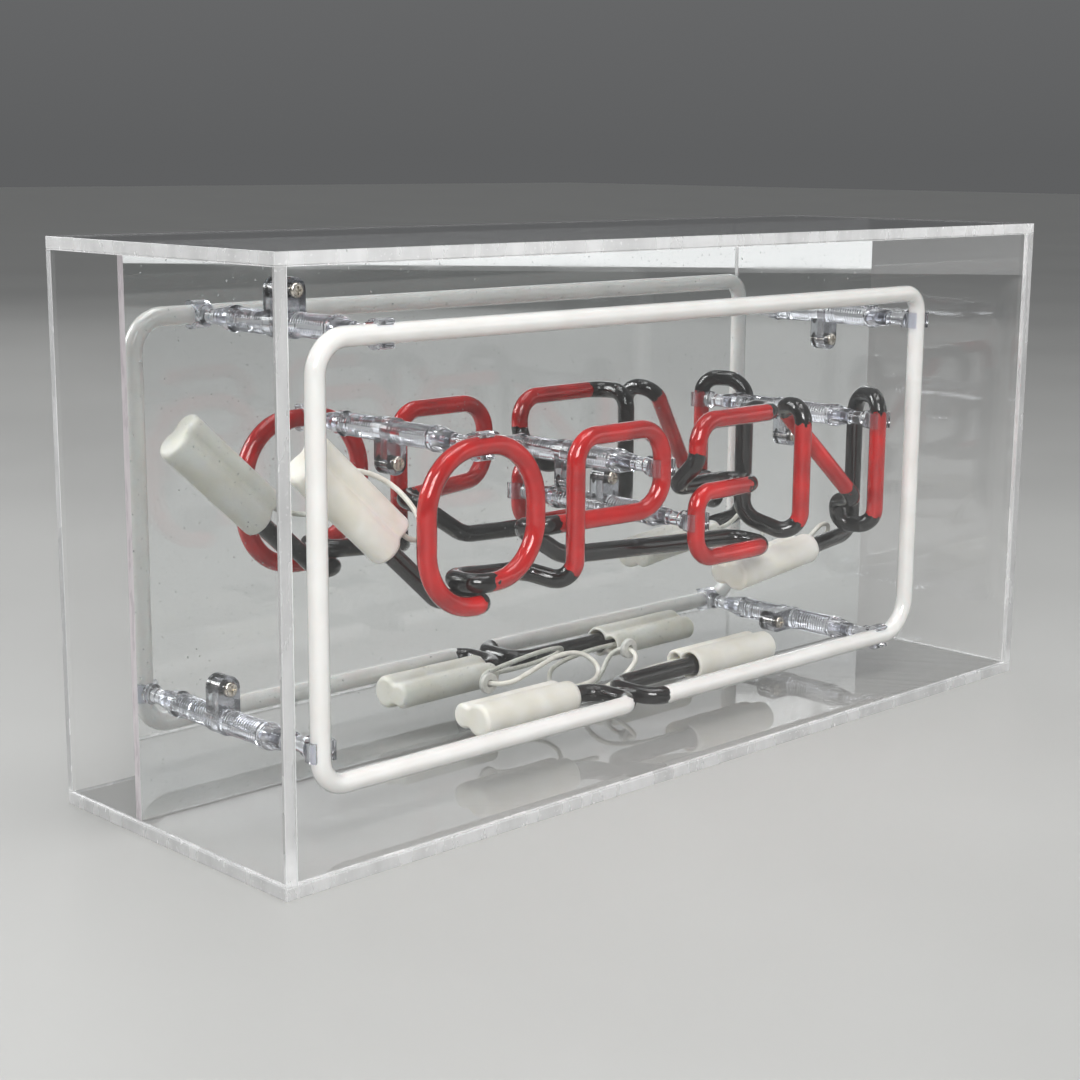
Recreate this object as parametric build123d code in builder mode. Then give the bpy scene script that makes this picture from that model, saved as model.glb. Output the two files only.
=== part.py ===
"""Boxed neon sign: a clear acrylic case, open at the back, around a mirror-backed neon unit.

Millimetres. X to the right, Y to the back, Z up. The origin is the middle of the case's underside.
"""

import os
from math import cos, radians, sin, tan

from build123d import *

os.makedirs("parts", exist_ok=True)

# ---- case: five flat sheets cemented edge to face ----
case_width = 487.0
case_depth = 154.0
case_height = 240.0
case_sheet = 5.0

# ---- mirror panel, a sliding fit in the case ----
mirror_setback = 101.0
mirror_sheet = 4.0
mirror_clearance = 0.4

# ---- glass tubes ----
tube_radius = 4.3
tube_wall = 1.0
tube_standoff = 60.2
pass_gap = 0.4
bulb_radius = tube_radius + 1.1
bulb_wall = 1.1
bulb_taper = 9.0
bulb_showing = 4.0
curl_lead_in = 0.7

# ---- border tube ----
border_side_margin = 46.6
border_floor_margin = 24.0
border_top_margin = 36.0
border_gap_x = -7.0
border_gap = 3.0
border_return = 28.0
corner_bottom_left = 12.0
corner_top_left = 15.0
corner_top_right = 10.0
corner_bottom_right = 19.0

# ---- lettering ----
cap_height = 66.0
letter_rise = 5.0
word_left = -140.5
o_width = 62.0
p_width = 56.0
e_width = 54.0
n_width = 62.0
letter_space = 24.5
letter_return = 18.7

# ---- silicone boots over the tube ends ----
boot_length = 60.0
boot_end_wall = 3.0
boot_clearance = 0.3
boot_wall = 2.1
boot_big_bore = bulb_radius + boot_clearance
boot_big_radius = boot_big_bore + boot_wall
boot_small_radius = 6.0
boot_pitch = 10.0
boot_small_bore = 3.6
boot_waist_fillet = 3.0
boot_edge_fillet = 2.4
tube_insertion = 46.0

# ---- high-voltage leads ----
lead_radius = 1.2
lead_insertion = 44.0
grommet_bore = 1.9
grommet_radius = 3.2
grommet_flange_radius = 5.0
grommet_flange = 1.4

# ---- tube supports ----
ear_offset = 14.0
ear_radius = 5.5
ear_thickness = 4.5
post_flange_radius = 6.2
post_radius = 5.3
post_length = 43.0
rib_pitch = 1.6
rib_depth = 0.45
ribbed_from = 6.5
ribbed_to = 30.0
shoulder_radius = 5.9
nose_radius = 3.9
stem_radius = 2.6
stem_insertion = 12.0
stem_clearance = 0.05
claw_clearance = 0.1
claw_wall = 1.9
claw_width = 8.0
claw_mouth = 55.0
screw_radius = 1.5
screw_head_radius = 3.3
screw_head_height = 2.2
screw_clearance = 0.1

# ---- power supply ----
supply_width = 150.0
supply_height = 76.0
supply_depth = 36.0
supply_floor_gap = 45.0
supply_wall = 2.2
supply_base_depth = 12.0
supply_corner = 5.0
tape_thickness = 1.0
tape_width = 18.0
board_sheet = 1.6
board_margin = 3.0
board_gap = 4.0
core_width = 30.0
core_height = 38.0
core_depth = 18.0
core_limb = 8.0
coil_gap = 0.3
coil_wall = 4.0
capacitor_radius = 7.0
capacitor_length = 24.0
sink_thickness = 2.0
sink_length = 34.0
sink_height = 20.0
transistor_width = 10.0
transistor_height = 15.0
transistor_thickness = 4.5
bushing_radius = 4.5
bushing_length = 9.0
outlet_pitch = 42.0
inlet_width = 26.0
inlet_height = 16.0
inlet_depth = 18.0
inlet_pin_radius = 1.2
inlet_pin_pitch = 8.6
switch_width = 13.0
switch_height = 19.0
switch_depth = 14.0
bezel_lip = 1.5
bezel_thickness = 1.8
rocker_gap = 0.4
rocker_tilt = 9.0
rocker_pivot_radius = 1.2
pivot_clearance = 0.05
panel_screw_radius = 1.5
panel_screw_inset = 6.0

# ---- places worked out from the sizes above ----
case_front = -case_depth / 2
inner_width = case_width - 2 * case_sheet
inner_height = case_height - 2 * case_sheet
middle_z = case_height / 2
mirror_front = case_front + mirror_setback
mirror_back = mirror_front + mirror_sheet
tube_y = mirror_front - tube_standoff
tube_diameter = 2 * tube_radius
behind_y = tube_y + tube_diameter
pass_rise = tube_diameter + pass_gap
letter_back_y = tube_y + letter_return
border_back_y = tube_y + border_return
border_right = case_width / 2 - border_side_margin
border_left = -border_right
border_bottom = border_floor_margin
border_top = case_height - border_top_margin
baseline = (border_bottom + border_top) / 2 + letter_rise - cap_height / 2
cap_line = baseline + cap_height


def finish(builder, name):
    """Label a finished piece and write it."""
    builder.part.label = name
    export_step(builder.part, f"parts/{name}.step")


def section_plane(plane):
    """A plane through the given plane's own axis: X stays radial, Y runs along the axis."""
    return Plane(origin=plane.origin, x_dir=plane.x_dir, z_dir=plane.y_dir * -1)


def soft_radii(points):
    """Arc radii for a soft lead: each as large as the two runs beside it allow."""
    spots = [Vector(*point) for point in points]
    radii = []
    for before, corner, after in zip(spots, spots[1:], spots[2:]):
        turn = (corner - before).get_angle(after - corner)
        run = min((corner - before).length, (after - corner).length)
        radii.append(0.45 * run / tan(radians(turn / 2)))
    return radii


# ---- case panels ----
def case_panel(name, width, depth, height, x, y, z):
    with BuildPart() as panel:
        with Locations((x, y, z)):
            Box(width, depth, height)
    finish(panel, name)


case_panel("bottom_panel", case_width, case_depth, case_sheet, 0, 0, case_sheet / 2)
case_panel("top_panel", case_width, case_depth, case_sheet, 0, 0, case_height - case_sheet / 2)
side_x = (case_width - case_sheet) / 2
case_panel("left_panel", case_sheet, case_depth, inner_height, -side_x, 0, middle_z)
case_panel("right_panel", case_sheet, case_depth, inner_height, side_x, 0, middle_z)
case_panel("front_panel", inner_width, case_sheet, inner_height, 0, case_front + case_sheet / 2, middle_z)

# ---- glass tube routes: (point, bend radius), the two ends without a bend ----
left_curl_x = border_gap_x - border_gap / 2 - tube_radius
right_curl_x = border_gap_x + border_gap / 2 + tube_radius
curl = 10.0
border_boot_left_x = left_curl_x - curl - bulb_showing - curl_lead_in
border_boot_right_x = right_curl_x + 57.0

boots = {
    "border_boot_left": Plane(
        origin=(border_boot_left_x, border_back_y, border_bottom), x_dir=(0, 1, 0), z_dir=(-1, 0, 0)
    ),
    "border_boot_right": Plane(
        origin=(border_boot_right_x, border_back_y, border_bottom), x_dir=(0, 1, 0), z_dir=(1, 0, 0)
    ),
}
border_end_left = border_boot_left_x - tube_insertion
border_end_right = border_boot_right_x + tube_insertion

border_route = [
    ((border_end_left, border_back_y, border_bottom), None),
    ((left_curl_x, border_back_y, border_bottom), curl),
    ((left_curl_x, tube_y, border_bottom), curl),
    ((border_left, tube_y, border_bottom), corner_bottom_left),
    ((border_left, tube_y, border_top), corner_top_left),
    ((border_right, tube_y, border_top), corner_top_right),
    ((border_right, tube_y, border_bottom), corner_bottom_right),
    ((right_curl_x, tube_y, border_bottom), curl),
    ((right_curl_x, border_back_y, border_bottom), curl),
    ((border_end_right, border_back_y, border_bottom), None),
]

o_left = word_left
o_right = o_left + o_width
o_middle = (o_left + o_right) / 2
o_top = cap_line + 2.0
p_left = o_right + letter_space
p_right = p_left + p_width
p_bowl = cap_line - 38.0
e_left = p_right + letter_space
e_right = e_left + e_width
e_middle = baseline + 32.0
n_left = e_right + letter_space
n_right = n_left + n_width

letter_boot_left_mouth = Vector(o_left - 6.0, letter_back_y, baseline + 26.0)
letter_boot_left_foot = Vector(o_middle - 8.5, letter_back_y, baseline)
letter_boot_left_way = (letter_boot_left_mouth - letter_boot_left_foot).normalized()
letter_exit_y = tube_y + 23.0
letter_boot_right_mouth = Vector(n_right - 25.0, letter_exit_y, baseline - 13.0)
letter_boot_right_foot = Vector(n_right + 11.0, letter_exit_y, baseline - 9.0)
letter_boot_right_way = (letter_boot_right_mouth - letter_boot_right_foot).normalized()
boots["letter_boot_left"] = Plane(
    origin=letter_boot_left_mouth,
    x_dir=letter_boot_left_way.cross(Vector(0, -1, 0)),
    z_dir=letter_boot_left_way,
)
boots["letter_boot_right"] = Plane(
    origin=letter_boot_right_mouth, x_dir=(0, 1, 0), z_dir=letter_boot_right_way
)
letter_end_left = letter_boot_left_mouth + letter_boot_left_way * tube_insertion
letter_end_right = letter_boot_right_mouth + letter_boot_right_way * tube_insertion

letter_route = [
    (letter_end_left, None),
    # letter O, round once, its second end lying just above the first
    (letter_boot_left_foot, 9.0),
    ((o_middle + 3.5, letter_back_y, baseline), 8.0),
    ((o_middle + 3.5, tube_y, baseline), 8.0),
    ((o_left, tube_y, baseline), 26.0),
    ((o_left, tube_y, o_top), 27.0),
    ((o_right, tube_y, o_top), 27.0),
    ((o_right, tube_y, baseline + pass_rise), 24.0),
    ((o_middle - 3.5, tube_y, baseline + pass_rise), 8.0),
    ((o_middle - 3.5, letter_back_y, baseline + pass_rise), 8.0),
    ((p_left - 14.0, letter_back_y, baseline + 6.0), 12.0),
    # letter P, stem up, bowl round, and back behind the stem
    ((p_left, tube_y, baseline), 9.0),
    ((p_left, tube_y, cap_line), 12.0),
    ((p_right, tube_y, cap_line), 15.0),
    ((p_right, tube_y, p_bowl), 15.0),
    ((p_left - 9.0, behind_y + 3.6, p_bowl - 2.0), 7.0),
    ((p_left - 9.0, behind_y + 18.6, p_bowl - 4.0), 7.0),
    ((p_left + 18.0, behind_y + 17.6, baseline + 7.0), 25.0),
    # letter E, foot, stem, doubled middle arm, stem, top arm
    ((e_right, behind_y + 13.6, baseline + 1.0), 10.0),
    ((e_right, tube_y, baseline), 10.0),
    ((e_left, tube_y, baseline), 12.0),
    ((e_left, tube_y, e_middle), 9.0),
    ((e_right - 10.5, tube_y, e_middle), 8.0),
    ((e_right - 10.5, behind_y + 9.1, e_middle), 8.0),
    ((e_left, behind_y + 5.6, e_middle + 1.0), 8.0),
    ((e_left, tube_y, e_middle + tube_diameter + 6.4), 12.0),
    ((e_left, tube_y, cap_line), 12.0),
    ((e_right + 3.5, tube_y, cap_line), 9.0),
    ((e_right + 3.5, behind_y + 11.6, cap_line), 9.0),
    ((e_right + 3.5, behind_y + 11.6, baseline + 12.0), 12.0),
    # letter N, leg up, back and down the slant, curl under, leg up, back and down behind
    ((n_left, tube_y, baseline), 9.0),
    ((n_left, tube_y, cap_line), 8.0),
    ((n_left + 3.0, behind_y + 9.6, cap_line), 8.0),
    ((n_right - 14.0, tube_y + 2.2, baseline + 14.0), 6.5),
    ((n_right - 9.0, behind_y + 9.6, baseline + 11.0), 6.5),
    ((n_right - 6.0, behind_y + 9.6, baseline - 2.0), 6.5),
    ((n_right, tube_y, baseline - 1.0), 9.0),
    ((n_right, tube_y, cap_line), 9.0),
    ((n_right + 11.0, letter_exit_y, cap_line), 12.0),
    (letter_boot_right_foot, 12.0),
    (letter_end_right, None),
]


def glass_tube(name, route):
    """A bent glass tube, hollow, with a wider sealed electrode bulb on each end."""
    spots = [Vector(*point) if isinstance(point, tuple) else point for point, bend in route]
    bends = [bend for point, bend in route[1:-1]]
    bulb_length = tube_insertion + bulb_showing
    heads = [
        (spots[0], (spots[0] - spots[1]).normalized()),
        (spots[-1], (spots[-1] - spots[-2]).normalized()),
    ]
    roots = [end - way * bulb_length for end, way in heads]
    with BuildPart() as tube:
        with BuildLine() as centre_line:
            FilletPolyline(roots[0], *spots[1:-1], roots[1], radius=bends)
        with BuildSketch(Plane(origin=roots[0], z_dir=heads[0][1] * -1)):
            Circle(tube_radius)
            Circle(tube_radius - tube_wall, mode=Mode.SUBTRACT)
        sweep(path=centre_line.line)
        for root, (end, way) in zip(roots, heads):
            frame = section_plane(Plane(origin=root, x_dir=(0, 1, 0), z_dir=way))
            bore = tube_radius - tube_wall
            wide_bore = bulb_radius - bulb_wall
            with BuildSketch(frame):
                with BuildLine():
                    Polyline(
                        (bore, 0),
                        (tube_radius, 0),
                        (bulb_radius, bulb_taper),
                        (bulb_radius, bulb_length - bulb_radius / 2),
                        (bulb_radius / 2, bulb_length),
                        (screw_clearance + 0.4, bulb_length),
                        (screw_clearance + 0.4, bulb_length - bulb_wall),
                        (bulb_radius / 2 - 0.6, bulb_length - bulb_wall),
                        (wide_bore, bulb_length - bulb_radius / 2 - 0.6),
                        (wide_bore, bulb_taper),
                        (bore, 0),
                    )
                make_face()
            revolve(axis=Axis(root, way))
    finish(tube, name)


glass_tube("border_tube", border_route)
glass_tube("letter_tube", letter_route)

# ---- boots and the electrodes inside the tube ends ----
cavity_depth = boot_length - boot_end_wall


def boot(name, plane):
    """Silicone boot: a big barrel for the tube end beside a small barrel for the lead, one end shut."""
    with BuildPart() as shell:
        with BuildSketch(plane):
            Circle(boot_big_radius)
            with Locations((boot_pitch, 0)):
                Circle(boot_small_radius)
            waist = vertices()
            fillet(waist, radius=boot_waist_fillet)
        extrude(amount=boot_length)
        far_edges = shell.faces().sort_by(Axis(plane.origin, plane.z_dir))[-1].edges()
        fillet(far_edges, radius=boot_edge_fillet)
        with BuildSketch(plane):
            Circle(boot_big_bore)
            with Locations((boot_pitch, 0)):
                Circle(boot_small_bore)
            with Locations((boot_pitch / 2, 0)):
                Rectangle(boot_pitch, boot_small_bore)
        extrude(amount=cavity_depth, mode=Mode.SUBTRACT)
    finish(shell, name)


def electrode(name, plane):
    """Metal shell inside the glass, with its wire out through the seal and across to the lead."""
    wire = 0.45
    shell_radius = 3.3
    shell_from = 14.0
    shell_to = 40.0
    with BuildPart() as part:
        with BuildSketch(plane.offset(shell_from)):
            Circle(shell_radius)
            Circle(shell_radius - 0.5, mode=Mode.SUBTRACT)
        extrude(amount=shell_to - shell_from)
        with BuildSketch(plane.offset(shell_to)):
            Circle(shell_radius)
        extrude(amount=1.0)
        with BuildLine(section_plane(plane)) as wire_line:
            FilletPolyline(
                (0, shell_to + 0.5),
                (0, tube_insertion + 5.5),
                (boot_pitch, tube_insertion + 5.5),
                (boot_pitch, lead_insertion),
                radius=2.0,
            )
        with BuildSketch(plane.offset(shell_to + 0.5)):
            Circle(wire)
        sweep(path=wire_line.line)
    finish(part, name)


for boot_name, boot_plane in boots.items():
    boot(boot_name, boot_plane)
    electrode(boot_name.replace("boot", "electrode"), boot_plane)

# ---- high-voltage leads: one from each supply outlet, and the link between the two tubes ----
supply_left = -supply_width / 2
supply_front = mirror_back + tape_thickness
supply_back = supply_front + supply_depth
supply_bottom = supply_floor_gap
supply_top = supply_bottom + supply_height
supply_middle = (supply_bottom + supply_top) / 2
outlet_low = supply_middle - outlet_pitch / 2
outlet_high = supply_middle + outlet_pitch / 2
outlet_y = supply_front + 18.0


def lead_line(plane, distance):
    """A point on the small barrel's axis, that far into the boot; outside it when negative."""
    spot = plane.origin + plane.x_dir * boot_pitch + plane.z_dir * distance
    return (spot.X, spot.Y, spot.Z)


hole_border_left = (border_boot_left_x - 23.0, 28.2)
hole_border_right = (border_boot_right_x - 9.9, 28.3)
hole_letter_left = (o_left - 19.5, baseline + 55.0)
hole_letter_right = (n_right - 17.0, baseline - 26.0)
lead_holes = [hole_border_left, hole_border_right, hole_letter_left, hole_letter_right]
front_y = mirror_front - 11.0
back_y = mirror_back + 14.0

lead_routes = {
    "border_lead": [
        lead_line(boots["border_boot_left"], lead_insertion),
        lead_line(boots["border_boot_left"], -14.0),
        (border_boot_left_x + 28.0, mirror_front - 21.5, 24.5),
        (border_boot_left_x + 37.0, mirror_front - 15.0, 28.5),
        (border_boot_left_x + 34.0, mirror_front - 6.5, 34.5),
        (border_boot_left_x + 19.5, mirror_front - 5.0, 36.0),
        (border_boot_left_x + 1.5, mirror_front - 8.0, 33.0),
        (hole_border_left[0], front_y, 28.2),
        (hole_border_left[0], back_y, 28.2),
        (supply_left - 12.0, outlet_y, 30.0),
        (supply_left - 37.0, outlet_y, outlet_low - 21.0),
        (supply_left - 39.0, outlet_y, outlet_low - 5.0),
        (supply_left - 22.0, outlet_y, outlet_low),
        (supply_left + 2.0, outlet_y, outlet_low),
    ],
    "letter_lead": [
        lead_line(boots["letter_boot_left"], lead_insertion),
        lead_line(boots["letter_boot_left"], -8.0),
        (o_left + 18.5, mirror_front - 37.0, baseline + 27.0),
        (o_left + 24.5, mirror_front - 27.0, baseline + 35.0),
        (o_left + 18.5, mirror_front - 17.0, baseline + 48.0),
        (o_left + 2.5, mirror_front - 12.0, baseline + 56.0),
        (hole_letter_left[0], front_y - 2.0, hole_letter_left[1]),
        (hole_letter_left[0], back_y, hole_letter_left[1]),
        (supply_left - 70.0, outlet_y, outlet_high + 26.0),
        (supply_left - 36.0, outlet_y, outlet_high),
        (supply_left + 2.0, outlet_y, outlet_high),
    ],
    "link_lead": [
        lead_line(boots["border_boot_right"], lead_insertion),
        lead_line(boots["border_boot_right"], -16.0),
        (border_boot_right_x - 32.8, mirror_front - 21.8, 22.5),
        (border_boot_right_x - 47.3, mirror_front - 20.0, 19.5),
        (border_boot_right_x - 52.8, mirror_front - 12.0, 12.5),
        (border_boot_right_x - 42.8, mirror_front - 4.5, 9.8),
        (border_boot_right_x - 25.8, mirror_front - 5.5, 12.5),
        (hole_border_right[0], front_y, 28.0),
        (hole_border_right[0], back_y, 28.4),
        (border_boot_right_x + 14.0, outlet_y, 24.0),
        (hole_letter_right[0] - 22.0, outlet_y, 30.0),
        (hole_letter_right[0], outlet_y - 2.0, 46.0),
        (hole_letter_right[0], mirror_back + 10.0, hole_letter_right[1] + 0.6),
        (hole_letter_right[0], mirror_front - 12.0, hole_letter_right[1]),
        (hole_letter_right[0] + 14.0, mirror_front - 15.5, hole_letter_right[1]),
        (hole_letter_right[0] + 25.0, mirror_front - 19.0, hole_letter_right[1] + 7.0),
        (hole_letter_right[0] + 26.0, mirror_front - 25.5, hole_letter_right[1] + 18.0),
        (hole_letter_right[0] + 15.9, mirror_front - 27.2, hole_letter_right[1] + 22.0),
        lead_line(boots["letter_boot_right"], -13.0),
        lead_line(boots["letter_boot_right"], lead_insertion),
    ],
}

for lead_name, points in lead_routes.items():
    lead_bends = soft_radii(points)
    print(lead_name, "bend radii", [round(bend, 1) for bend in lead_bends])
    with BuildPart() as lead:
        with BuildLine() as lead_centre:
            FilletPolyline(*points, radius=lead_bends)
        with BuildSketch(Plane(origin=lead_centre.line @ 0, z_dir=lead_centre.line % 0)):
            Circle(lead_radius)
        sweep(path=lead_centre.line)
    print(lead_name, "length", round(lead_centre.wire().length, 1))
    finish(lead, lead_name)

# ---- tube supports: name, place on the mirror, the way the ear points, the tube's own direction ----
up = (0, 0, 1)
down = (0, 0, -1)
leftward = (-1, 0, 0)
across = (1, 0, 0)
supports = [
    ("border_bottom_left", (border_left, border_bottom + corner_bottom_left + claw_width / 2), up, up),
    ("border_top_left", (border_left + 33.5, border_top), up, across),
    ("border_top_right", (border_right, border_top - corner_top_right - claw_width / 2), down, up),
    ("border_bottom_right", (border_right - corner_bottom_right - claw_width / 2, border_bottom), leftward, across),
    ("letter_o", (o_middle, o_top), down, across),
    ("letter_p", (p_right, (cap_line + p_bowl) / 2), down, up),
    ("letter_e", (e_left, baseline + 18.5), up, up),
    ("letter_n", (n_right, baseline + 54.0), down, up),
]
rib_count = int((ribbed_to - ribbed_from) / rib_pitch)

with BuildPart() as post:
    with BuildSketch():
        Circle(post_flange_radius)
        with Locations((ear_offset, 0)):
            Circle(ear_radius)
        with Locations((ear_offset / 2, 0)):
            Rectangle(ear_offset, 2 * ear_radius)
        with Locations((ear_offset, 0)):
            Circle(screw_radius + screw_clearance, mode=Mode.SUBTRACT)
    extrude(amount=ear_thickness)
    with BuildSketch(Plane.XZ) as post_profile:
        with BuildLine():
            outline = [(0, 0), (post_flange_radius - 0.5, 0), (post_flange_radius - 0.5, ribbed_from)]
            for rib in range(rib_count):
                rib_z = ribbed_from + rib * rib_pitch
                outline.append((post_radius - rib_depth, rib_z))
                outline.append((post_radius - rib_depth, rib_z + rib_pitch * 0.4))
                outline.append((post_radius, rib_z + rib_pitch * 0.55))
                outline.append((post_radius, rib_z + rib_pitch * 0.9))
            outline.append((post_radius - rib_depth, ribbed_to))
            outline.append((shoulder_radius, ribbed_to + 1.0))
            outline.append((shoulder_radius, ribbed_to + 4.0))
            outline.append((nose_radius + 0.8, ribbed_to + 8.0))
            outline.append((nose_radius, post_length))
            outline.append((0, post_length))
            outline.append((0, 0))
            Polyline(*outline)
        make_face()
    revolve(axis=Axis.Z)
    with Locations((0, 0, ribbed_from)):
        Box(2.4, 2 * post_radius + 0.6, ribbed_to - ribbed_from, align=(Align.CENTER, Align.CENTER, Align.MIN))
    with Locations((0, 0, post_length)):
        Cylinder(
            stem_radius + stem_clearance,
            stem_insertion + 0.5,
            align=(Align.CENTER, Align.CENTER, Align.MAX),
            mode=Mode.SUBTRACT,
        )

claw_inner = tube_radius + claw_clearance
claw_outer = claw_inner + claw_wall
claw_seat = tube_standoff - claw_outer
with BuildPart() as claw:
    with BuildSketch(Plane.XZ):
        with BuildLine():
            Polyline(
                (0, post_length - stem_insertion),
                (stem_radius, post_length - stem_insertion),
                (stem_radius, post_length + 0.3),
                (3.4, post_length + 0.3),
                (3.4, claw_seat - 3.5),
                (4.6, claw_seat - 1.5),
                (4.6, claw_seat + 1.0),
                (0, claw_seat + 1.0),
                (0, post_length - stem_insertion),
            )
        make_face()
    revolve(axis=Axis.Z)
    with BuildSketch(Plane(origin=(-claw_width / 2, 0, tube_standoff), x_dir=(0, 1, 0), z_dir=(1, 0, 0))):
        Circle(claw_outer)
        Circle(claw_inner, mode=Mode.SUBTRACT)
        with BuildLine():
            reach = claw_outer * 2
            edge_y = reach * sin(radians(claw_mouth))
            edge_z = reach * cos(radians(claw_mouth))
            Polyline((0, 0), (edge_y, edge_z), (0, reach * 1.4), (-edge_y, edge_z), (0, 0))
        make_face(mode=Mode.SUBTRACT)
    extrude(amount=claw_width)

with BuildPart() as support_screw:
    with Locations((0, 0, ear_thickness)):
        Cylinder(screw_head_radius, screw_head_height, align=(Align.CENTER, Align.CENTER, Align.MIN))
    fillet(support_screw.edges().group_by(Axis.Z)[-1], radius=1.2)
    with Locations((0, 0, -mirror_sheet)):
        Cylinder(
            screw_radius, mirror_sheet + ear_thickness, align=(Align.CENTER, Align.CENTER, Align.MIN)
        )
    with Locations((0, 0, ear_thickness + screw_head_height)):
        for turn in (0, 90):
            Box(3.6, 0.9, 2.4, rotation=(0, 0, turn), mode=Mode.SUBTRACT)


def mirror_spot(place, x_way):
    """A plane on the mirror's front face, looking out towards the front of the case."""
    return Plane(origin=(place[0], mirror_front, place[1]), x_dir=x_way, z_dir=(0, -1, 0))


screw_places = []
for support_name, place, ear_way, tube_way in supports:
    with BuildPart(mirror_spot(place, ear_way)) as placed_post:
        add(post.part)
    finish(placed_post, f"support_base_{support_name}")
    with BuildPart(mirror_spot(place, tube_way)) as placed_claw:
        add(claw.part)
    finish(placed_claw, f"support_head_{support_name}")
    screw_places.append((place[0] + ear_way[0] * ear_offset, place[1] + ear_way[2] * ear_offset))

with BuildPart(*[mirror_spot(place, across) for place in screw_places]) as screws:
    add(support_screw.part)
finish(screws, "support_screws")

# ---- mirror panel, drilled for the leads' grommets and the support screws ----
mirror_face = Plane(origin=(0, mirror_front, middle_z), x_dir=(1, 0, 0), z_dir=(0, -1, 0))
with BuildPart() as mirror_panel:
    with BuildSketch(mirror_face):
        Rectangle(inner_width - 2 * mirror_clearance, inner_height - 2 * mirror_clearance)
        with Locations(*[(x, z - middle_z) for x, z in screw_places]):
            Circle(screw_radius, mode=Mode.SUBTRACT)
        with Locations(*[(x, z - middle_z) for x, z in lead_holes]):
            Circle(grommet_radius, mode=Mode.SUBTRACT)
    extrude(amount=-mirror_sheet)
finish(mirror_panel, "mirror_panel")

with BuildPart() as grommet:
    Cylinder(grommet_radius, mirror_sheet, align=(Align.CENTER, Align.CENTER, Align.MAX))
    with Locations((0, 0, 0)):
        Cylinder(grommet_flange_radius, grommet_flange, align=(Align.CENTER, Align.CENTER, Align.MIN))
    with Locations((0, 0, -mirror_sheet)):
        Cylinder(grommet_flange_radius, grommet_flange, align=(Align.CENTER, Align.CENTER, Align.MAX))
    fillet(grommet.edges().filter_by(GeomType.CIRCLE).group_by(Axis.Z)[-1], radius=0.5)
    Hole(grommet_bore)

with BuildPart(*[mirror_spot(hole, across) for hole in lead_holes]) as grommets:
    add(grommet.part)
finish(grommets, "lead_grommets")

# ---- power supply: a two-part box taped to the mirror's back ----
base_back = supply_front + supply_base_depth
inlet_x = supply_width / 2 - 30.0
switch_x = inlet_x - 38.0
face_z = supply_middle
cover_screws = [
    (side * (supply_width / 2 - panel_screw_inset), supply_middle + rise * (supply_height / 2 - panel_screw_inset))
    for side in (-1, 1)
    for rise in (-1, 1)
]


def supply_plane(y):
    """A plane across the power supply at depth y, seen from behind: its normal points to the back."""
    return Plane(origin=(0, y, supply_middle), x_dir=(-1, 0, 0), z_dir=(0, 1, 0))


def on_supply(x, z):
    """Plane coordinates of a place given in x and z."""
    return (-x, z - supply_middle)


with BuildPart() as tape:
    with BuildSketch(supply_plane(mirror_back)):
        with GridLocations(0, supply_height - 2 * tape_width, 1, 2):
            Rectangle(supply_width - 20.0, tape_width)
    extrude(amount=tape_thickness)
finish(tape, "mounting_tape")

cavity_width = supply_width - 2 * supply_wall
cavity_height = supply_height - 2 * supply_wall
with BuildPart() as supply_base:
    with BuildSketch(supply_plane(supply_front)):
        RectangleRounded(supply_width, supply_height, supply_corner)
    extrude(amount=supply_base_depth)
    with BuildSketch(supply_plane(supply_front + supply_wall)):
        RectangleRounded(cavity_width, cavity_height, supply_corner - supply_wall)
    extrude(amount=supply_base_depth, mode=Mode.SUBTRACT)
    with BuildSketch(supply_plane(supply_front)):
        with Locations(*[on_supply(x, z) for x, z in cover_screws]):
            Circle(panel_screw_radius + 2.2)
    extrude(amount=supply_base_depth)
    with BuildSketch(supply_plane(base_back)):
        with Locations(*[on_supply(x, z) for x, z in cover_screws]):
            Circle(panel_screw_radius)
    extrude(amount=-8.0, mode=Mode.SUBTRACT)
finish(supply_base, "supply_base")

with BuildPart() as supply_cover:
    with BuildSketch(supply_plane(base_back)):
        RectangleRounded(supply_width, supply_height, supply_corner)
    extrude(amount=supply_depth - supply_base_depth)
    fillet(supply_cover.faces().sort_by(Axis.Y)[-1].edges(), radius=1.5)
    with BuildSketch(supply_plane(base_back)):
        RectangleRounded(cavity_width, cavity_height, supply_corner - supply_wall)
    extrude(amount=supply_depth - supply_base_depth - supply_wall, mode=Mode.SUBTRACT)
    with BuildSketch(supply_plane(base_back)):
        with Locations(*[on_supply(x, z) for x, z in cover_screws]):
            Circle(panel_screw_radius + 2.2)
    extrude(amount=supply_depth - supply_base_depth - 1.0)
    with BuildSketch(supply_plane(base_back)):
        with Locations(*[on_supply(x, z) for x, z in cover_screws]):
            Circle(panel_screw_radius + screw_clearance)
        with Locations(on_supply(inlet_x, face_z)):
            Rectangle(inlet_width, inlet_height)
        with Locations(on_supply(switch_x, face_z)):
            Rectangle(switch_width, switch_height)
    extrude(amount=supply_depth, mode=Mode.SUBTRACT)
    with BuildSketch(Plane(origin=(supply_left, 0, 0), x_dir=(0, 1, 0), z_dir=(1, 0, 0))):
        with Locations((outlet_y, outlet_low), (outlet_y, outlet_high)):
            Circle(bushing_radius)
    extrude(amount=supply_wall, mode=Mode.SUBTRACT)
finish(supply_cover, "supply_cover")

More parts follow.
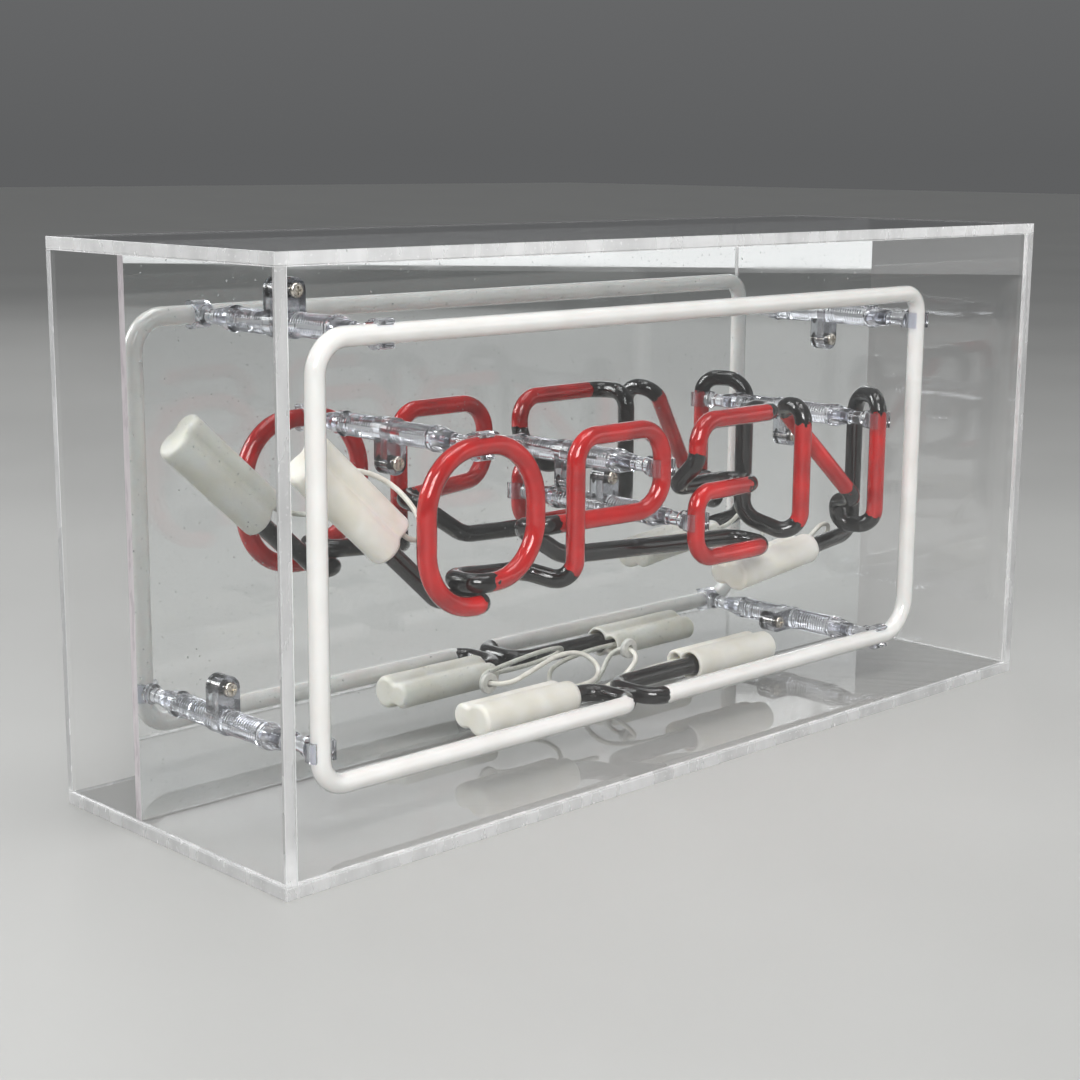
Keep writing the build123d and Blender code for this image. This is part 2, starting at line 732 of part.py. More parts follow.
with BuildPart() as cover_screw_set:
    with BuildSketch(supply_plane(base_back - 8.0)):
        with Locations(*[on_supply(x, z) for x, z in cover_screws]):
            Circle(panel_screw_radius)
    extrude(amount=8.0 + supply_depth - supply_base_depth)
    with BuildSketch(supply_plane(supply_back)):
        with Locations(*[on_supply(x, z) for x, z in cover_screws]):
            Circle(panel_screw_radius + 1.3)
    extrude(amount=1.5)
    for turn in (0, 90):
        with BuildSketch(supply_plane(supply_back + 0.7)):
            with Locations(*[on_supply(x, z) for x, z in cover_screws]):
                Rectangle(3.2, 0.8, rotation=turn)
        extrude(amount=1.0, mode=Mode.SUBTRACT)
finish(cover_screw_set, "cover_screws")

# ---- inside the power supply ----
board_y = supply_front + supply_wall + board_gap
board_top = board_y + board_sheet
core_x = -24.0
with BuildPart() as board:
    with BuildSketch(supply_plane(board_y)):
        Rectangle(cavity_width - 2 * board_margin, cavity_height - 2 * board_margin)
        with Locations(*[on_supply(x, z) for x, z in cover_screws]):
            Circle(panel_screw_radius + 2.8, mode=Mode.SUBTRACT)
    extrude(amount=board_sheet)
finish(board, "circuit_board")

with BuildPart() as core:
    with BuildSketch(supply_plane(board_top)):
        with Locations(on_supply(core_x, supply_middle)):
            Rectangle(core_width + 2 * core_limb, core_height)
            with GridLocations(core_width / 2 + core_limb / 2, 0, 2, 1):
                Rectangle(core_width / 2 - core_limb / 2, core_height - 2 * core_limb, mode=Mode.SUBTRACT)
    extrude(amount=core_depth)
finish(core, "transformer_core")

with BuildPart() as coil:
    with BuildSketch(supply_plane(board_top + 1.0)):
        with Locations(on_supply(core_x, supply_middle)):
            Rectangle(core_limb + 2 * (coil_gap + coil_wall), core_height - 2 * core_limb - 2 * coil_gap)
            Rectangle(core_limb + 2 * coil_gap, core_height, mode=Mode.SUBTRACT)
    extrude(amount=core_depth - 2.0)
finish(coil, "transformer_coil")

capacitor_x = core_x + 42.0
with BuildPart() as capacitor:
    with BuildSketch(Plane(origin=(capacitor_x, board_top + capacitor_radius, supply_bottom + 9.0))):
        Circle(capacitor_radius)
    extrude(amount=capacitor_length)
    fillet(capacitor.edges().filter_by(GeomType.CIRCLE), radius=0.8)
finish(capacitor, "filter_capacitor")

sink_x = capacitor_x + 2.0
sink_z = supply_top - 16.0
with BuildPart() as sink:
    with BuildSketch(supply_plane(board_top)):
        with Locations(on_supply(sink_x, sink_z)):
            Rectangle(sink_length, sink_thickness)
        with Locations(on_supply(sink_x - sink_length / 2 + sink_thickness / 2, sink_z + 4.0)):
            Rectangle(sink_thickness, 8.0)
    extrude(amount=sink_height)
finish(sink, "heat_sink")

with BuildPart() as transistors:
    with BuildSketch(supply_plane(board_top + 2.0)):
        with Locations(on_supply(sink_x, sink_z - sink_thickness / 2 - transistor_thickness / 2)):
            with GridLocations(transistor_width + 5.0, 0, 2, 1):
                Rectangle(transistor_width, transistor_thickness)
    extrude(amount=transistor_height)
finish(transistors, "transistors")

with BuildPart() as bushings:
    for outlet in (outlet_low, outlet_high):
        outlet_plane = Plane(origin=(supply_left, outlet_y, outlet), x_dir=(0, 1, 0), z_dir=(-1, 0, 0))
        with BuildSketch(outlet_plane.offset(-supply_wall)):
            Circle(bushing_radius)
        extrude(amount=supply_wall + bushing_length, taper=5)
        with BuildSketch(outlet_plane.offset(-supply_wall)):
            Circle(lead_radius + 0.1)
        extrude(amount=supply_wall + bushing_length, mode=Mode.SUBTRACT)
finish(bushings, "outlet_bushings")

# ---- mains inlet: a figure-eight socket with two pins ----
socket_radius = 4.6
socket_wall = 2.0
inlet_plane = supply_plane(supply_back)
with BuildPart() as inlet:
    with BuildSketch(inlet_plane.offset(-inlet_depth)):
        with Locations(on_supply(inlet_x, face_z)):
            Rectangle(inlet_width, inlet_height)
    extrude(amount=inlet_depth)
    with BuildSketch(inlet_plane):
        with Locations(on_supply(inlet_x, face_z)):
            RectangleRounded(inlet_width + 4.0, inlet_height + 4.0, 2.0)
    extrude(amount=bezel_thickness)
    with BuildSketch(inlet_plane.offset(bezel_thickness)):
        with Locations(on_supply(inlet_x, face_z)):
            SlotCenterToCenter(inlet_pin_pitch, 2 * socket_radius)
    extrude(amount=-(inlet_depth + bezel_thickness - socket_wall), mode=Mode.SUBTRACT)
    with BuildSketch(inlet_plane.offset(-inlet_depth)):
        with Locations(on_supply(inlet_x, face_z)):
            with GridLocations(inlet_pin_pitch, 0, 2, 1):
                Circle(inlet_pin_radius)
    extrude(amount=socket_wall, mode=Mode.SUBTRACT)
finish(inlet, "mains_inlet")

with BuildPart() as pins:
    with BuildSketch(inlet_plane.offset(-inlet_depth - 3.0)):
        with Locations(on_supply(inlet_x, face_z)):
            with GridLocations(inlet_pin_pitch, 0, 2, 1):
                Circle(inlet_pin_radius)
    extrude(amount=inlet_depth + 1.0)
finish(pins, "inlet_pins")

# ---- rocker switch ----
rocker_width = switch_width - 2 * bezel_lip - 2 * rocker_gap
rocker_height = switch_height - 2 * bezel_lip - 2 * rocker_gap
pocket_depth = 9.0
rocker_pivot_y = supply_back - 3.0
with BuildPart() as switch_body:
    with BuildSketch(inlet_plane.offset(-switch_depth)):
        with Locations(on_supply(switch_x, face_z)):
            Rectangle(switch_width, switch_height)
    extrude(amount=switch_depth)
    with BuildSketch(inlet_plane):
        with Locations(on_supply(switch_x, face_z)):
            RectangleRounded(switch_width + 3.0, switch_height + 3.0, 1.5)
    extrude(amount=bezel_thickness)
    with BuildSketch(inlet_plane.offset(bezel_thickness)):
        with Locations(on_supply(switch_x, face_z)):
            Rectangle(switch_width - 2 * bezel_lip, switch_height - 2 * bezel_lip)
    extrude(amount=-(pocket_depth + bezel_thickness), mode=Mode.SUBTRACT)
    with BuildSketch(Plane(origin=(switch_x - switch_width / 2, 0, 0), x_dir=(0, 1, 0), z_dir=(1, 0, 0))):
        with Locations((rocker_pivot_y, face_z)):
            Circle(rocker_pivot_radius + pivot_clearance)
    extrude(amount=switch_width, mode=Mode.SUBTRACT)
finish(switch_body, "switch_body")

with BuildPart() as rocker:
    rocker_start = (switch_x - rocker_width / 2, rocker_pivot_y, face_z)
    rocker_side = Plane(origin=rocker_start, x_dir=(0, 1, 0), z_dir=(1, 0, 0))
    tilted_way = (0, cos(radians(rocker_tilt)), sin(radians(rocker_tilt)))
    with BuildSketch(Plane(origin=rocker_start, x_dir=tilted_way, z_dir=(1, 0, 0))):
        with BuildLine():
            half = rocker_height / 2 - 0.5
            Polyline(
                (-1.6, -half + 2.0),
                (3.4, -half),
                (5.0, -half),
                (3.9, 0),
                (5.0, half),
                (3.4, half),
                (-1.6, half - 2.0),
                (-1.6, -half + 2.0),
            )
        make_face()
    extrude(amount=rocker_width)
    with BuildSketch(rocker_side.offset(-rocker_gap - bezel_lip)):
        Circle(rocker_pivot_radius)
    extrude(amount=rocker_width + 2 * (rocker_gap + bezel_lip))
finish(rocker, "rocker")
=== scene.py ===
"""Boxed neon sign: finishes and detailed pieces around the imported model.

Metres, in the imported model's frame: X to the right, Y to the back, Z up.
"""

import math

import bmesh
import bpy
from mathutils import Matrix, Vector, noise


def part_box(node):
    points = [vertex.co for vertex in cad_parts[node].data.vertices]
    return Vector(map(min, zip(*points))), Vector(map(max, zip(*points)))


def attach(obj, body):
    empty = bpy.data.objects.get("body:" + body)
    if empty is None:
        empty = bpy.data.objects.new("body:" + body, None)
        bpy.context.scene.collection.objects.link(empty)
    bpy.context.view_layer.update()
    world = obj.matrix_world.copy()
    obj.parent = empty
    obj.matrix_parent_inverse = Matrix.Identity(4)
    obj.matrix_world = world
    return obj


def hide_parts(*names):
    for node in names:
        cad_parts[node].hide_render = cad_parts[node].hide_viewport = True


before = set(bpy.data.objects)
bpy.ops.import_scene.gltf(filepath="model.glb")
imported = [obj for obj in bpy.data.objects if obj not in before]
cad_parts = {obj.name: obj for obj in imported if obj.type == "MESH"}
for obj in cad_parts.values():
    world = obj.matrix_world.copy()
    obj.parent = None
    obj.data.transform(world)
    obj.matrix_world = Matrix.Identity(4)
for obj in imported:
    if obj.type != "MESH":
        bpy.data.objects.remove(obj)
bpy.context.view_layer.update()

mm = 0.001
scene = bpy.context.scene

# ---- camera ----
camera_place = (-0.6542, -0.6323, 0.2749)
camera_turn = 0.7723
camera_drop = -0.1970
camera_roll = 0.0071
camera_lens = 64.92

camera_data = bpy.data.cameras.new("camera")
camera_data.lens = camera_lens
camera_data.sensor_width = 36.0
camera_data.clip_start = 0.01
camera = bpy.data.objects.new("camera", camera_data)
camera.matrix_world = (
    Matrix.Translation(camera_place)
    @ Matrix.Rotation(-camera_turn, 4, "Z")
    @ Matrix.Rotation(math.pi / 2 + camera_drop, 4, "X")
    @ Matrix.Rotation(camera_roll, 4, "Z")
)
scene.collection.objects.link(camera)
scene.camera = camera


def stand_in(name, mesh, node, body):
    """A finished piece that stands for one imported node."""
    piece = bpy.data.objects.new(name, mesh)
    scene.collection.objects.link(piece)
    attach(piece, body)
    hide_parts(node)
    return piece


def smooth_mesh(mesh):
    mesh.polygons.foreach_set("use_smooth", [True] * len(mesh.polygons))
    mesh.update()


def drawn(line):
    """The finished mesh of a curve."""
    holder = bpy.data.objects.new("drawn", line)
    scene.collection.objects.link(holder)
    bpy.context.view_layer.update()
    finished = holder.evaluated_get(bpy.context.evaluated_depsgraph_get())
    mesh = bpy.data.meshes.new_from_object(finished)
    bpy.data.objects.remove(holder)
    smooth_mesh(mesh)
    return mesh


# ---- high-voltage leads: listed points in mm, through boot, grommet and outlet ----
lead_radius = 1.2 * mm
lead_points = {
    "border_lead": [
        (-71.5, 1.8, 24.0),
        (-29.5, 1.8, 24.0),
        (-13.5, 1.8, 24.0),
        (0.5, 2.5, 24.5),
        (9.5, 9.0, 28.5),
        (6.5, 17.5, 34.5),
        (-8.0, 19.0, 36.0),
        (-26.0, 16.0, 33.0),
        (-50.5, 13.0, 28.2),
        (-50.5, 42.0, 28.2),
        (-87.0, 47.0, 30.0),
        (-112.0, 47.0, 41.0),
        (-114.0, 47.0, 57.0),
        (-97.0, 47.0, 62.0),
        (-73.0, 47.0, 62.0),
    ],
    "letter_lead": [
        (-172.3, -17.5, 149.0),
        (-141.2, -17.5, 120.7),
        (-133.9, -17.5, 114.0),
        (-122.0, -13.0, 113.0),
        (-116.0, -3.0, 121.0),
        (-122.0, 7.0, 134.0),
        (-138.0, 12.0, 142.0),
        (-160.0, 11.0, 141.0),
        (-160.0, 42.0, 141.0),
        (-145.0, 47.0, 130.0),
        (-111.0, 47.0, 104.0),
        (-73.0, 47.0, 104.0),
    ],
    "link_lead": [
        (99.8, 1.8, 24.0),
        (57.8, 1.8, 24.0),
        (39.8, 1.8, 24.0),
        (23.0, 2.2, 22.5),
        (8.5, 4.0, 19.5),
        (3.0, 12.0, 12.5),
        (13.0, 19.5, 9.8),
        (30.0, 18.5, 12.5),
        (45.9, 13.0, 28.0),
        (45.9, 42.0, 28.4),
        (69.8, 47.0, 24.0),
        (128.0, 47.0, 30.0),
        (150.0, 45.0, 46.0),
        (150.0, 38.0, 60.6),
        (150.0, 12.0, 60.0),
        (164.0, 8.5, 60.0),
        (175.0, 5.0, 67.0),
        (176.0, -1.5, 78.0),
        (165.9, -3.2, 82.0),
        (154.9, -3.2, 74.5),
        (140.0, -3.2, 72.8),
        (98.3, -3.2, 68.1),
    ],
}


def soft_lead(name, points):
    """A silicone lead as one smooth spline through the given points."""
    line = bpy.data.curves.new(name + "_line", "CURVE")
    line.dimensions = "3D"
    line.bevel_depth = lead_radius
    line.bevel_resolution = 4
    line.resolution_u = 10
    line.use_fill_caps = True
    spline = line.splines.new("NURBS")
    spline.points.add(len(points) - 1)
    for knot, place in zip(spline.points, points):
        knot.co = (*[size * mm for size in place], 1.0)
    spline.order_u = 3
    spline.use_endpoint_u = True
    return stand_in("smooth_" + name, drawn(line), name, "neon_unit")


leads = [soft_lead(name, points) for name, points in lead_points.items()]


# ---- shader helpers ----
mix_share, mix_first, mix_second = 0, 6, 7  # a colour Mix node's share and its two colours
grain_per_feature = 0.6  # noise scale times feature size
acrylic_ior = 1.49


def colour(code):
    """Linear colour from an sRGB hex code."""
    parts = [int(code[i : i + 2], 16) / 255 for i in (1, 3, 5)]
    linear = [p / 12.92 if p <= 0.04045 else ((p + 0.055) / 1.055) ** 2.4 for p in parts]
    return (*linear, 1.0)


def add(tree, kind, inputs=None, **settings):
    """One node with its settings; an input given a node or a socket is linked, anything else is set."""
    node = tree.nodes.new("ShaderNode" + kind)
    for name, value in settings.items():
        setattr(node, name, value)
    for name, value in (inputs or {}).items():
        if isinstance(value, bpy.types.Node):
            value = next(socket for socket in value.outputs if socket.enabled)
        if isinstance(value, bpy.types.NodeSocket):
            tree.links.new(value, node.inputs[name])
        else:
            node.inputs[name].default_value = value
    return node


def blank(name):
    """A new material with nothing in it yet."""
    finish = bpy.data.materials.new(name)
    finish.use_nodes = True
    finish.node_tree.nodes.clear()
    return finish, finish.node_tree


def grain(tree, size, detail=3.0, stretch=(1, 1, 1)):
    """A soft random field with features about that many mm across."""
    place = add(tree, "TexCoord").outputs["Object"]
    turned = add(tree, "Mapping", {"Vector": place, "Scale": stretch})
    scale = grain_per_feature / (size * mm)
    return add(tree, "TexNoise", {"Vector": turned, "Scale": scale, "Detail": detail})


def span(low, high, start=0.3, end=0.7):
    """The limits that stretch a field from low to high; a grain mostly lies between 0.3 and 0.7."""
    return {"From Min": start, "From Max": end, "To Min": low, "To Max": high}


def lets_light_through(tree, clear, tint):
    """Clear plastic bends what is seen through it but lets lamp light straight in."""
    path = add(tree, "LightPath")
    rays = {0: path.outputs["Is Shadow Ray"], 1: path.outputs["Is Diffuse Ray"]}
    either = add(tree, "Math", rays, operation="MAXIMUM")
    straight = add(tree, "BsdfTransparent", {"Color": tint})
    return add(tree, "MixShader", {0: either, 1: clear, 2: straight})


# ---- finishes ----
def cast_acrylic():
    """Cast acrylic sheet, polished: water clear, faint smears on the faces."""
    finish, tree = blank("cast_acrylic_polished")
    smear = add(tree, "MapRange", {"Value": grain(tree, 45, 4), **span(0.0, 0.012, 0.5, 0.8)})
    body = add(
        tree,
        "BsdfPrincipled",
        {
            "Base Color": colour("#fefefe"),
            "Transmission Weight": 1.0,
            "IOR": acrylic_ior,
            "Roughness": smear,
        },
    )
    add(tree, "OutputMaterial", {"Surface": lets_light_through(tree, body, colour("#fafafa"))})
    return finish


def sawn_acrylic():
    """Sawn and flamed acrylic edge: frosty white, lightened further to white as a painted highlight along
    the sheet edges, with saw strokes across the sheet and cement bubbles.
    """
    finish, tree = blank("sawn_acrylic_edge_painted_highlight")
    strokes = grain(tree, 7.0, 4, (1, 1, 0.3))
    bubbles = add(tree, "MapRange", {"Value": grain(tree, 0.9, 1), **span(0, 1, 0.66, 0.72)})
    streaks = add(tree, "MapRange", {"Value": strokes, **span(0, 1)})
    # white edge tones: partly the frosted edge's own colour, partly a painted highlight standing in for the
    # bright edges of the sheets
    tones = {mix_share: streaks, mix_first: colour("#e6e6e6"), mix_second: colour("#ffffff")}
    sawn = add(tree, "Mix", tones, data_type="RGBA")
    bubbled = {mix_share: bubbles, mix_first: sawn, mix_second: colour("#ffffff")}
    body = add(
        tree,
        "BsdfPrincipled",
        {
            "Base Color": add(tree, "Mix", bubbled, data_type="RGBA"),
            "Transmission Weight": 0.35,
            "IOR": acrylic_ior,
            "Roughness": add(tree, "MapRange", {"Value": strokes, **span(0.15, 0.35)}),
            "Normal": add(tree, "Bump", {"Height": strokes, "Distance": 0.05 * mm, "Strength": 0.3}),
        },
    )
    add(tree, "OutputMaterial", {"Surface": lets_light_through(tree, body, colour("#eeeeee"))})
    return finish


def silvered_acrylic():
    """Acrylic mirror: bright silver with a cool cast, a slow ripple and fine dust."""
    finish, tree = blank("silvered_acrylic_face")
    dust = add(tree, "MapRange", {"Value": grain(tree, 0.9, 1), **span(0, 1, 0.68, 0.74)})
    smear = add(tree, "MapRange", {"Value": grain(tree, 35, 4), **span(0.012, 0.05, 0.45, 0.75)})
    dulled = add(tree, "MapRange", {"Value": dust, **span(0, 0.25, 0, 1)})
    tones = {mix_share: dust, mix_first: colour("#eceeee"), mix_second: colour("#c9cccc")}
    ripple = grain(tree, 70, 0)
    body = add(
        tree,
        "BsdfPrincipled",
        {
            "Base Color": add(tree, "Mix", tones, data_type="RGBA"),
            "Metallic": 1.0,
            "Roughness": add(tree, "Math", {0: smear, 1: dulled}, operation="ADD"),
            "Normal": add(tree, "Bump", {"Height": ripple, "Distance": 0.12 * mm, "Strength": 0.25}),
        },
    )
    add(tree, "OutputMaterial", {"Surface": body})
    return finish


def mirror_edge():
    """Cut edge of the mirror sheet: pale and slightly pink, with the saw's grain."""
    finish, tree = blank("mirror_sheet_edge")
    strokes = grain(tree, 1.6, 2, (1, 1, 0.2))
    tones = {mix_share: strokes, mix_first: colour("#cfc5cb"), mix_second: colour("#f3eff0")}
    body = add(
        tree,
        "BsdfPrincipled",
        {
            "Base Color": add(tree, "Mix", tones, data_type="RGBA"),
            "Roughness": add(tree, "MapRange", {"Value": strokes, **span(0.2, 0.45)}),
            "Subsurface Weight": 0.3,
            "Subsurface Radius": (0.002, 0.002, 0.002),
            "Subsurface Scale": 1.0,
            "Normal": add(tree, "Bump", {"Height": strokes, "Distance": 0.1 * mm, "Strength": 0.6}),
        },
    )
    add(tree, "OutputMaterial", {"Surface": body})
    return finish


def mirror_backing():
    """Mirror backing paint: flat grey lacquer with orange peel and light scuffs."""
    finish, tree = blank("mirror_backing_paint")
    scuff = grain(tree, 18, 6, (1, 1, 0.25))
    worn = add(tree, "MapRange", {"Value": scuff, **span(0, 1)})
    tones = {mix_share: worn, mix_first: colour("#777b7e"), mix_second: colour("#8d9194")}
    peel = grain(tree, 1.4, 2)
    body = add(
        tree,
        "BsdfPrincipled",
        {
            "Base Color": add(tree, "Mix", tones, data_type="RGBA"),
            "Roughness": add(tree, "MapRange", {"Value": scuff, **span(0.38, 0.6)}),
            "Normal": add(tree, "Bump", {"Height": peel, "Distance": 0.08 * mm, "Strength": 0.6}),
        },
    )
    add(tree, "OutputMaterial", {"Surface": body})
    return finish


def coated_glass(name, deep, bright, milky):
    """Coated neon glass with block-out paint where the tube turns behind the letters.

    The coat is glossy and slightly uneven; the black paint is brushed on, thicker, with a ragged edge.
    Milky is how far light goes into the coat; an opaque coat has none.
    """
    finish, tree = blank(name)
    painted = add(tree, "Attribute", attribute_name="block_out").outputs["Fac"]
    ragged = add(tree, "MapRange", {"Value": grain(tree, 1.6, 3), **span(-0.0016, 0.0016, 0.25, 0.75)})
    edge = add(tree, "Math", {0: painted, 1: ragged}, operation="ADD")
    black = add(tree, "MapRange", {"Value": edge, **span(0, 1, -0.00015, 0.00015)})
    cloud = add(tree, "MapRange", {"Value": grain(tree, 9, 3), **span(0, 1)})
    glass_tones = {mix_share: cloud, mix_first: colour(deep), mix_second: colour(bright)}
    paint_tones = {mix_share: grain(tree, 3, 4), mix_first: colour("#020202"), mix_second: colour("#0d0c0c")}
    tones = {
        mix_share: black,
        mix_first: add(tree, "Mix", glass_tones, data_type="RGBA"),
        mix_second: add(tree, "Mix", paint_tones, data_type="RGBA"),
    }
    brushing = grain(tree, 2.2, 3)
    waviness = add(tree, "Math", {0: grain(tree, 11, 1), 1: 0.9}, operation="MULTIPLY")
    height = add(tree, "Math", {0: brushing, 1: black, 2: waviness}, operation="MULTIPLY_ADD")
    inputs = {
        "Base Color": add(tree, "Mix", tones, data_type="RGBA"),
        "Roughness": add(tree, "MapRange", {"Value": black, **span(0.07, 0.13, 0, 1)}),
        "IOR": 1.52,
        "Coat Weight": 1.0,
        "Coat Roughness": 0.03,
        "Normal": add(tree, "Bump", {"Height": height, "Distance": 0.22 * mm, "Strength": 0.7}),
    }
    if milky:
        inputs["Subsurface Weight"] = add(tree, "MapRange", {"Value": black, **span(milky, 0.0, 0, 1)})
        inputs["Subsurface Radius"] = (0.003, 0.002, 0.0018)
        inputs["Subsurface Scale"] = 1.0
    add(tree, "OutputMaterial", {"Surface": add(tree, "BsdfPrincipled", inputs)})
    return finish


def clear_polycarbonate():
    """Moulded polycarbonate: glassy with a cool cast and faint flow lines."""
    finish, tree = blank("moulded_clear_polycarbonate")
    flow = grain(tree, 2.0, 3)
    tones = {mix_share: flow, mix_first: colour("#eef0f7"), mix_second: colour("#fdfdff")}
    body = add(
        tree,
        "BsdfPrincipled",
        {
            "Base Color": add(tree, "Mix", tones, data_type="RGBA"),
            "Transmission Weight": 0.97,
            "IOR": 1.58,
            "Roughness": add(tree, "MapRange", {"Value": flow, **span(0.0, 0.03)}),
            "Normal": add(tree, "Bump", {"Height": flow, "Distance": 0.02 * mm, "Strength": 0.3}),
        },
    )
    add(tree, "OutputMaterial", {"Surface": lets_light_through(tree, body, colour("#e6e8ee"))})
    return finish


def cream_silicone():
    """Moulded silicone rubber: warm cream, satin, finely pitted, with chalky streaks from talc."""
    finish, tree = blank("moulded_cream_silicone")
    talc = grain(tree, 7, 5)
    stain = add(tree, "MapRange", {"Value": grain(tree, 16, 3), **span(0, 0.6, 0.5, 0.75)})
    chalk = add(tree, "MapRange", {"Value": talc, **span(0, 1)})
    chalky = {mix_share: chalk, mix_first: colour("#f0ede2"), mix_second: colour("#fbf9f2")}
    clean = add(tree, "Mix", chalky, data_type="RGBA")
    stained = {mix_share: stain, mix_first: clean, mix_second: colour("#e8e3d3")}
    pits = grain(tree, 0.7, 2)
    body = add(
        tree,
        "BsdfPrincipled",
        {
            "Base Color": add(tree, "Mix", stained, data_type="RGBA"),
            "Roughness": add(tree, "MapRange", {"Value": talc, **span(0.38, 0.58)}),
            "Subsurface Weight": 0.25,
            "Subsurface Radius": (0.004, 0.0034, 0.0024),
            "Subsurface Scale": 1.0,
            "Normal": add(tree, "Bump", {"Height": pits, "Distance": 0.12 * mm, "Strength": 0.6}),
        },
    )
    add(tree, "OutputMaterial", {"Surface": body})
    return finish


def skinned(name, dark, light, size, rough, depth, **extra):
    """A finish made of one grain: two tones, a roughness range in step with it, and its relief in mm."""
    finish, tree = blank(name)
    skin = grain(tree, size, 4, extra.pop("stretch", (1, 1, 1)))
    mottle = add(tree, "MapRange", {"Value": skin, **span(0, 1)})
    tones = {mix_share: mottle, mix_first: colour(dark), mix_second: colour(light)}
    inputs = {
        "Base Color": add(tree, "Mix", tones, data_type="RGBA"),
        "Roughness": add(tree, "MapRange", {"Value": skin, **span(*rough)}),
        "Normal": add(tree, "Bump", {"Height": skin, "Distance": depth * mm, "Strength": 0.7}),
        **extra,
    }
    add(tree, "OutputMaterial", {"Surface": add(tree, "BsdfPrincipled", inputs)})
    return finish


# Low tone, high tone, grain in mm, roughness from and to, relief in mm.
finishes = {
    # silicone insulation: white, satin, faintly mottled by handling
    "lead_silicone": skinned("silicone_wire_insulation", "#dcdacf", "#f2f1ea", 2.5, (0.3, 0.45), 0.03),
    # moulded silicone grommet: milky and soft
    "grommet_rubber": skinned("moulded_silicone_grommet", "#c9c9c4", "#e4e4df", 1.5, (0.35, 0.5), 0.05),
    # nickel plate over steel, tumbled: bright with tiny dulled patches
    "support_screw_chrome": skinned(
        "nickel_plated_screw", "#b7b0a4", "#e8e4dc", 0.9, (0.1, 0.28), 0.02, Metallic=1.0
    ),
    # blackened steel: dark oxide with rubbed edges
    "cover_screw_steel": skinned(
        "blackened_steel_screw", "#17171a", "#3a3a3e", 0.8, (0.25, 0.45), 0.03, Metallic=1.0
    ),
    # spark-eroded ABS: black with a fine even leatheriness
    "supply_plastic": skinned("black_abs_textured", "#0b0b0c", "#1b1b1d", 0.8, (0.42, 0.62), 0.12),
    # glass nylon fittings: black, slightly smoother than the box
    "fitting_plastic": skinned("black_nylon_moulded", "#0a0a0a", "#181818", 1.6, (0.3, 0.48), 0.05),
    # nylon rocker, polished in the mould: black with soft highlights
    "rocker_plastic": skinned("black_nylon_polished", "#060606", "#121212", 3.0, (0.12, 0.24), 0.02),
    # glass fibre laminate under green solder resist
    "board_laminate": skinned("green_solder_resist", "#0d3a1a", "#1c5a2b", 1.2, (0.25, 0.4), 0.06),
    # sintered ferrite: charcoal, gritty
    "ferrite": skinned("sintered_ferrite", "#1c1c1e", "#38383a", 0.6, (0.55, 0.8), 0.08),
    # enamelled winding wire under clear tape, in fine rows
    "coil_copper": skinned(
        "enamelled_winding", "#7a3d12", "#c47a35", 0.7, (0.2, 0.35), 0.15, stretch=(1, 0.1, 1), Metallic=0.6
    ),
    # shrunk sleeve: dark blue, slightly slack
    "capacitor_sleeve": skinned("shrink_sleeve_blue", "#0c1734", "#1d2c55", 5, (0.2, 0.35), 0.05),
    # extruded aluminium: bright, drawn out in fine lines
    "sink_aluminium": skinned(
        "extruded_aluminium",
        "#a9abad",
        "#d3d5d6",
        0.5,
        (0.25, 0.42),
        0.04,
        stretch=(1, 0.06, 1),
        Metallic=1.0,
    ),
    # moulded epoxy: matt black, gritty
    "transistor_plastic": skinned("moulded_epoxy", "#121212", "#232323", 0.7, (0.5, 0.7), 0.05),
    # undyed nylon: waxy off-white
    "bushing_plastic": skinned("natural_nylon", "#c6c3b6", "#e3e1d8", 2, (0.3, 0.45), 0.04),
    # turned brass, thinly plated: warm and bright
    "pin_brass": skinned("nickelled_brass_pin", "#b08d45", "#dcc37e", 0.8, (0.15, 0.3), 0.02, Metallic=1.0),
    # foam tape: open, matt and white
    "foam_tape": skinned("foam_mounting_tape", "#cfcfcb", "#f0f0ee", 0.9, (0.8, 0.95), 0.2),
    # plated iron shell, heated in pumping: dull warm grey
    "electrode_metal": skinned(
        "nickelled_iron_shell", "#77746c", "#a8a59c", 1, (0.3, 0.5), 0.04, Metallic=1.0
    ),
}
finishes["clear_acrylic"] = cast_acrylic()
finishes["mirror_acrylic"] = silvered_acrylic()
finishes["clear_support_plastic"] = clear_polycarbonate()
finishes["cream_silicone"] = cream_silicone()
finishes["red_glass"] = coated_glass("ruby_coated_glass", "#a80104", "#d90606", 0.0)
finishes["white_glass"] = coated_glass("milk_coated_glass", "#f8f6f2", "#fffefb", 0.15)
# edge finish whose white is partly a painted highlight
sawn_edge_and_painted_highlight = sawn_acrylic()
sheet_edge = mirror_edge()
backing = mirror_backing()

for lead in leads:
    lead.data.materials.clear()
    lead.data.materials.append(finishes["lead_silicone"])


# ---- pieces ----
def own_copy(node):
    """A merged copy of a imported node's mesh, to shape further."""
    shape = bmesh.new()
    shape.from_mesh(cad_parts[node].data)
    bmesh.ops.remove_doubles(shape, verts=shape.verts, dist=0.002 * mm)
    return shape


# ---- case sheets: polished faces, sawn edges, a hair of cement between them ----
cement = 0.06 * mm
arris = 0.35 * mm
thin_way = {"bottom_panel": 2, "top_panel": 2, "left_panel": 0, "right_panel": 0, "front_panel": 1}


